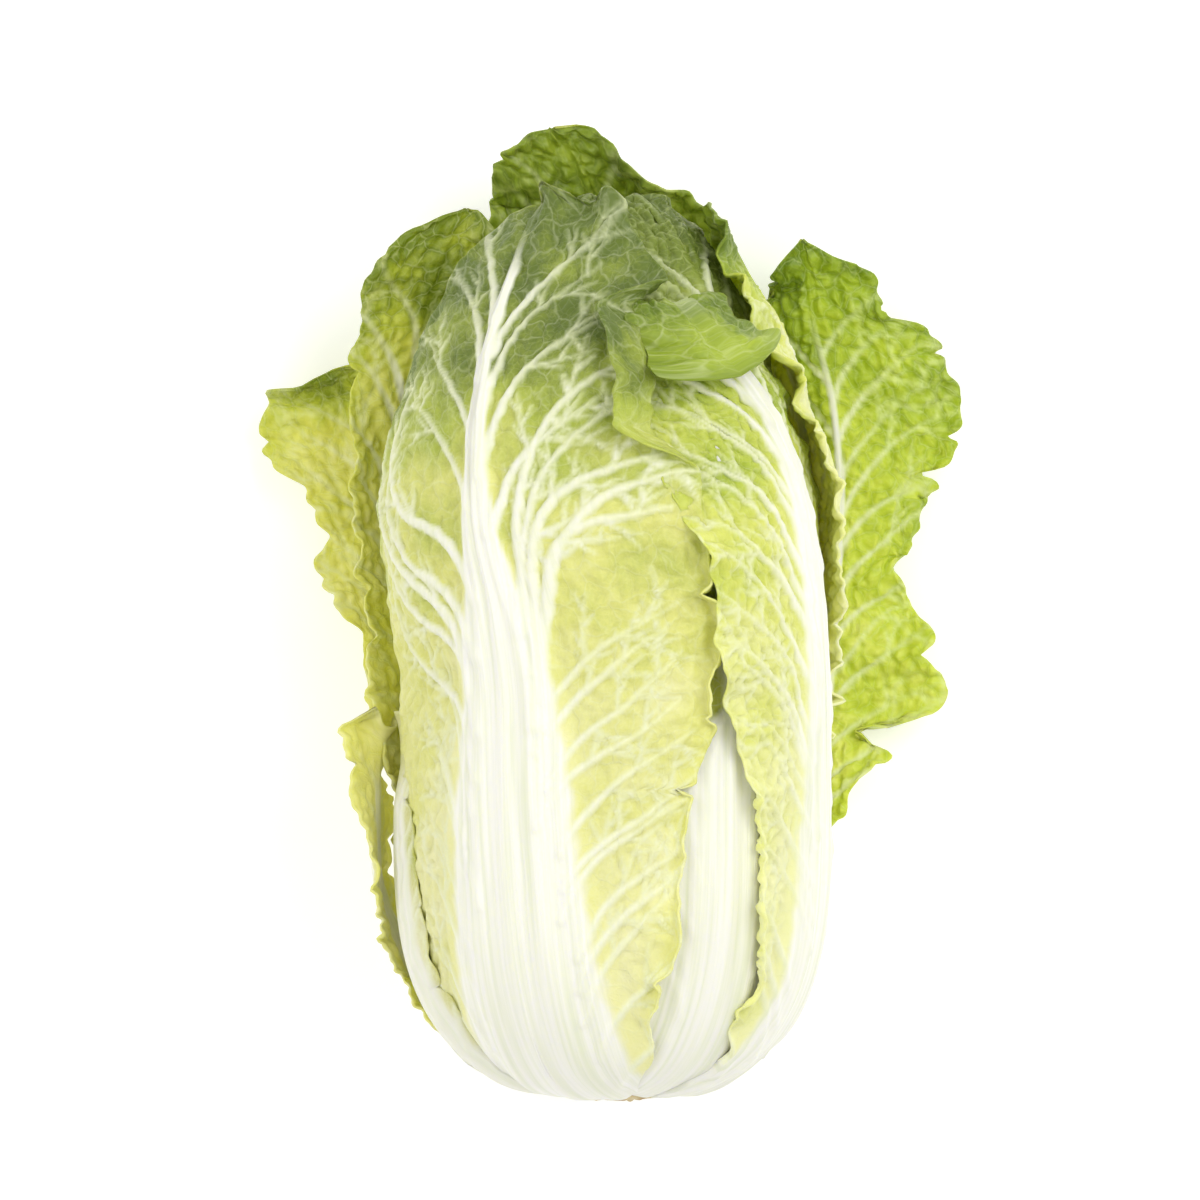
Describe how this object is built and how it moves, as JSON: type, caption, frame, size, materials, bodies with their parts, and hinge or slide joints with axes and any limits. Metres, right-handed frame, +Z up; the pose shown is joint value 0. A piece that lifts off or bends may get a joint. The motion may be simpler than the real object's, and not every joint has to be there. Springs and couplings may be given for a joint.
{
  "type": "napa cabbage head",
  "caption": "Long head of napa cabbage on its back: tight heart, ribbed white midribs, crinkled green blades and loose outer leaves spread beside it.",
  "frame": {"origin": "on the surface the head lies on, under the middle of its overall length and width", "axes": "+Y from the cut stem to the leaf tips, +Z up out of the surface it lies on, +X towards the large loose leaf"},
  "size_m": [0.2375, 0.3309, 0.1445],
  "materials": {
    "heart_leaves": "pale yellow waxy leaf",
    "cut_stem": "dry cut plant flesh",
    "inner_leaf": "crinkled leaf blade, soft sheen",
    "wrapper_leaf": "white ribbed midrib and yellow-green blade, soft sheen",
    "outer_leaf": "blistered green leaf blade, soft sheen"
  },
  "bodies": {
    "root": {"heart": "heart_leaves", "stem": "cut_stem", "crown_left_leaf": "inner_leaf", "crown_right_leaf": "inner_leaf", "lower_middle_leaf": "wrapper_leaf", "front_leaf": "wrapper_leaf", "right_leaf": "wrapper_leaf", "left_leaf": "wrapper_leaf", "ruffled_right_leaf": "wrapper_leaf", "top_back_leaf": "outer_leaf", "top_left_leaf": "outer_leaf", "right_outer_leaf": "outer_leaf", "left_outer_leaf": "outer_leaf", "left_lower_leaf": "outer_leaf", "back_leaf": "outer_leaf"}
  },
  "joints": []
}
